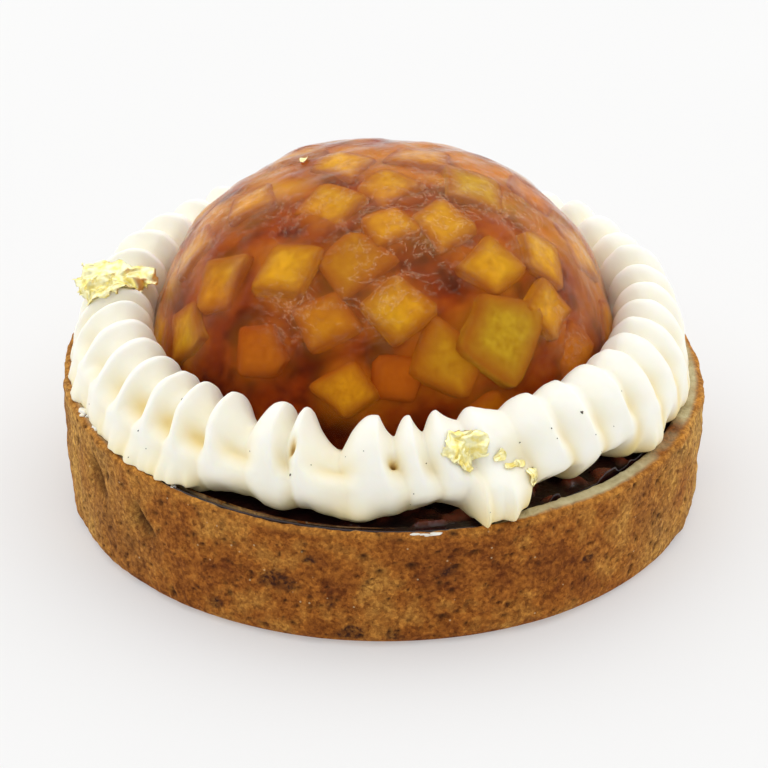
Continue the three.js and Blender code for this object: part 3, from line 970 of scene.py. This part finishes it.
def cream_grid():
    """Rings of points round the cream's section, and how much painted shade each gets: yellow in a hollow,
    brown in a hole.
    """
    directions = np.linspace(-180, 180, CREAM_ROWS, endpoint=False)
    t, a = np.meshgrid(directions, round_angles(CREAM_COLUMNS, -180), indexing="ij")
    share, hollow_shade, low, middle = cream_cuts(t, a)
    dip = hole_dips(t, a)
    slump = slumped(a)
    lip = 18 - 1.9 * (a - 17)  # direction of the edge along which the slumped pleat bulges
    reach = np.interp(t, *np.array(SECTION).T) * share
    reach = reach - 1.9 * dip - 0.5 * slump * np.exp(-(((t - lip - 20) / 18) ** 2))
    r = CREAM_CORE[0] + reach * np.cos(np.radians(t))
    z = CREAM_CORE[1] + reach * np.sin(np.radians(t))
    # the valleys at the front dip further at the top
    notched = smoothstep(t, 5, 85) * (1 - smoothstep(t, 150, 178)) * smoothstep(nearness(a, -5), 0.75, 0.95)
    z = z - 1.7 * low * notched
    tall = 1 + BACK_RISE * (1 - nearness(a, 0)) / 2
    z = CREAM_FOOT_Z + (z - CREAM_FOOT_Z) * tall
    at = polar(r, a, z)
    # the outer side is shifted a little to the left, and the foot follows its own radius
    outer = np.cos(np.radians(t)).clip(0, 1)
    r = r + outer * 0.6 * nearness(a, -105)
    foot = smoothstep(-t, 2 - 42 * slump, 50) * smoothstep(t, -112, -80)
    r = r + foot * (foot_radius(a) - FOOT_MEAN_R)
    # the slumped pleat bulges, and so does the ring at the right
    r = r + outer * 0.9 * slump * smoothstep(lip - t, -20, 12)
    r = r + outer * 0.8 * smoothstep(nearness(a, 67), 0.95, 0.99)
    # it touches neither the dome nor the filling nor the rim
    r = np.maximum(r, dome_radius(z) + 0.05)
    z = np.maximum(z, CREAM_FOOT_Z)
    over_rim = smoothstep(r, CASE_R - CASE_WALL - 0.6, CASE_R - CASE_WALL + 0.1)
    z = np.maximum(z, CREAM_FOOT_Z + over_rim * (rim_height(a) + OVER_RIM - CREAM_FOOT_Z))
    points = polar(r, a, z)
    away = 0.10 * ripple(at, 2.5, 62) + 0.05 * ripple(at, 1.0, 63)
    points[..., 2] += away * smoothstep(z, CREAM_FOOT_Z + 0.5, CREAM_FOOT_Z + 2)
    # painted shade: yellower in the holes, in the creases at the right, low on the outer side and at the
    # foot
    hollow_shade = hollow_shade + 1.5 * dip
    hollow_shade = hollow_shade + 0.4 * middle * outer * smoothstep(nearness(a, 52), 0.82, 0.95)
    hollow_shade = hollow_shade + 0.25 * outer * smoothstep(-t, -10, 30)
    hollow_shade = hollow_shade + 0.75 * foot * smoothstep(-z, -CREAM_FOOT_Z - 5, -CREAM_FOOT_Z)
    # the last value is the painted shade of the holes
    return points, hollow_shade.clip(0, 1), smoothstep(dip, 0.35, 0.9)


def make_cream():
    """The ring of piped cream, one closed mesh softened a little."""
    grid, hollow_shade, hole_shade = cream_grid()
    faces = ring_faces(CREAM_ROWS, CREAM_COLUMNS, closed=True)
    piece = make_mesh("piped_cream", grid.reshape(-1, 3), faces, cream_surface())
    paint_points(piece, "hollow_shade", hollow_shade)
    paint_points(piece, "hole_shade", hole_shade)
    smooth = piece.modifiers.new("soften", "SMOOTH")
    smooth.factor = 0.5
    smooth.iterations = 2
    return keep(piece, "cream", "cream_ring")


# ------------------------ toppings

LEAF_THICKNESS = 0.04
LEAF_STEPS = 44
LEAF_OUTLINE = 0.84  # share of the square from which a leaf is cut
LAID_FROM = 4  # height above the leaf's plane from which it is laid
# Bits of the front leaf: (angle, height, half length, half width, seed)
FRONT_FLAKES = ((15.2, 24.4, 4.2, 2.2, 300), (14.9, 22.6, 1.3, 1.7, 310), (21.6, 22.9, 1.1, 1.0, 320),
                (24.8, 21.4, 1.7, 0.7, 330), (27.2, 20.0, 0.8, 1.2, 340))


def tree_of(piece):
    """What rays in millimetres can be cast at: the piece as it is shown."""
    mesh = piece.evaluated_get(bpy.context.evaluated_depsgraph_get()).data
    points = [v.co / MM for v in mesh.vertices]
    return BVHTree.FromPolygons(points, [list(p.vertices) for p in mesh.polygons])


def outer_spot(tree, angle, z):
    """Point and outward normal where a level ray towards the tart's axis meets the piece."""
    start = Vector(polar(60.0, angle, z))
    point, normal, *_ = tree.ray_cast(start, Vector(polar(-1.0, angle, 0.0)))
    return point, normal


def top_spot(tree, r, angle):
    """Point and normal where a ray from straight above meets the piece."""
    point, normal, *_ = tree.ray_cast(Vector(polar(r, angle, 80.0)), Vector((0, 0, -1)))
    return point, normal


def flake(tree, centre, normal, along, size, seed, lift=0.15):
    """Points and faces of a crumpled flake of gold with a ragged outline, laid on a piece."""
    normal = np.array(normal)
    along = np.array(along) - normal * np.dot(along, normal)
    along /= np.linalg.norm(along)
    across = np.cross(normal, along)
    line = np.linspace(-1, 1, LEAF_STEPS)
    u, v = np.meshgrid(line, line, indexing="ij")
    flat = np.stack([u * size[0], v * size[1], np.zeros_like(u)], axis=-1)
    edge = np.hypot(u, v) + 0.2 * ripple(flat, size[1] * 1.2, seed) + 0.08 * ripple(flat, 0.6, seed + 1)
    crumple = 0.50 * np.abs(ripple(flat, 1.3, seed + 2)) + 0.28 * np.abs(ripple(flat, 0.55, seed + 3))
    x = flat[..., 0] + 0.3 * ripple(flat, 1.1, seed + 4)
    y = flat[..., 1] + 0.3 * ripple(flat, 1.1, seed + 5)
    plane = np.array(centre) + x[..., None] * along + y[..., None] * across
    points = np.zeros_like(plane)
    stiff = min(size) * 0.3
    for i in range(LEAF_STEPS):
        for j in range(LEAF_STEPS):
            start = Vector(plane[i, j] + LAID_FROM * normal)
            hit = tree.ray_cast(start, Vector(-normal), 2 * LAID_FROM)[0]
            rise = LAID_FROM - (hit - start).length if hit else -LAID_FROM
            rise = max(rise, -stiff * (u[i, j] ** 2 + v[i, j] ** 2))
            points[i, j] = plane[i, j] + normal * (rise + lift + min(1, size[1] / 2) * crumple[i, j])
    inside = edge < LEAF_OUTLINE
    faces = []
    for i in range(LEAF_STEPS - 1):
        for j in range(LEAF_STEPS - 1):
            if inside[i:i + 2, j:j + 2].all():
                corner = i * LEAF_STEPS + j
                faces.append([corner, corner + LEAF_STEPS, corner + LEAF_STEPS + 1, corner + 1])
    used = sorted({k for face in faces for k in face})
    place = {k: n for n, k in enumerate(used)}
    return points.reshape(-1, 3)[used], [[place[k] for k in face] for face in faces]


def make_leaf(name, node, flakes):
    """A piece of gold leaf made of one or more flakes."""
    points, faces = joined(flakes)
    piece = make_mesh(name, points, faces, GOLD)
    skin = piece.modifiers.new("thickness", "SOLIDIFY")
    skin.thickness = LEAF_THICKNESS * MM
    skin.offset = 0
    return keep(piece, "gold", node)


def make_gold(cream, skin):
    """The three places with gold leaf: on the cream at the left and the front, and on the dome."""
    on_cream = tree_of(cream)
    on_skin = tree_of(skin)
    point, _ = top_spot(on_cream, 33.0, -98)
    slope = np.array([-0.15, -0.7, 1.0])
    make_leaf("gold_flake_left", "gold_leaf_left", [
        flake(on_cream, point + Vector((-1.5, -1.9, -0.5)), slope / np.linalg.norm(slope),
              polar(1.0, -92, 0.0), (6.0, 3.4), 100, 0.25)])
    bits = []
    for angle, z, long, wide, seed in FRONT_FLAKES:
        point, normal = outer_spot(on_cream, angle, z)
        normal = (normal + Vector(polar(1.0, angle, 0.5))).normalized()
        bits.append(flake(on_cream, point, normal, polar(1.0, angle + 90, 0.0), (long, wide), seed, 0.06))
    make_leaf("gold_flakes_front", "gold_leaf_front", bits)
    point, normal = top_spot(on_skin, 11.3, -120)
    make_leaf("gold_flake_dome", "gold_leaf_dome", [
        flake(on_skin, point, normal, polar(1.0, -30, 0.0), (0.95, 0.75), 200, 0.05)])


def lump(centre, size, seed, normal=(0, 0, 1)):
    """An uneven rounded lump with half sizes in x, y and z, turned so that its z is the normal."""
    points, faces = rounded_cube(steps=5, bevel=0.999)
    points = points / np.linalg.norm(points, axis=1, keepdims=True)
    points = points * (1 + 0.36 * ripple(points, 0.8, seed))[:, None] * size
    turn = np.array(Vector((0, 0, 1)).rotation_difference(Vector(normal)).to_matrix())
    return points @ turn.T + np.array(centre), faces


# Vanilla seeds that show: (angle and height on the cream's outer side, half length)
SEEDS = ((-17, 21.4, 0.2), (40.5, 25.1, 0.19), (-46, 26.0, 0.16), (-44, 25.4, 0.14), (26.5, 23.6, 0.1),
         (33, 24.6, 0.1), (-50, 21.0, 0.1), (28, 20.6, 0.12), (8, 22.6, 0.09))
SEEDS_SCATTERED = 30


def make_seeds(cream):
    """Vanilla seeds in the cream's outer side, as one mesh."""
    rng = np.random.default_rng(17)
    tree = tree_of(cream)
    spots = list(SEEDS)
    for _ in range(SEEDS_SCATTERED):
        spots.append((rng.uniform(-180, 180), rng.uniform(17.5, 26), rng.uniform(0.05, 0.1)))
    seeds = []
    for n, (angle, z, size) in enumerate(spots):
        point, normal = outer_spot(tree, angle, z)
        if point is not None:
            seeds.append(lump(point, (size, size * 0.8, size * 0.5), 400 + n, normal))
    points, faces = joined(seeds)
    keep(make_mesh("vanilla_seeds", points, faces, seed_surface()), "cream")


# Bits of cream on the rim: (angle, radius, half length round the rim, half width)
RIM_BITS = ((-71, 38.9, 0.8, 0.5), (-69.9, 39.2, 0.4, 0.35), (-68.9, 38.7, 0.45, 0.4),
            (-64.5, 38.5, 0.7, 0.6), (-40.1, 38.9, 0.45, 0.4), (-41.5, 38.5, 0.7, 0.5),
            (5.3, 39.7, 0.5, 0.2), (6.3, 39.75, 0.75, 0.16), (7.5, 39.7, 0.6, 0.2),
            (8.6, 39.65, 0.7, 0.26))


def make_bits(case, surface):
    """Bits of cream that lie on the rim, as one mesh."""
    tree = tree_of(case)
    bits = []
    for n, (angle, r, long, wide) in enumerate(RIM_BITS):
        point, _ = top_spot(tree, r, angle)
        shape, faces = lump((0, 0, 0), (long, wide, 0.6 * wide), 500 + n)
        turn = np.array(Matrix.Rotation(math.radians(angle), 3, "Z"))
        bits.append((shape @ turn.T + np.array(point), faces))
    points, faces = joined(bits)
    piece = make_mesh("cream_bits", points, faces, surface)
    # a little of the cream's painted shade, evenly all over
    paint_points(piece, "hollow_shade", np.full(len(points), 0.1))
    keep(piece, "cream")


# ------------------------ the tart

make_camera()
make_studio()
GOLD = gold_surface()
case = make_case()
make_filling()
make_compote()
make_dice()
skin = make_skin()
cream = make_cream()
make_gold(cream, skin)
make_seeds(cream)
make_bits(case, cream.data.materials[0])
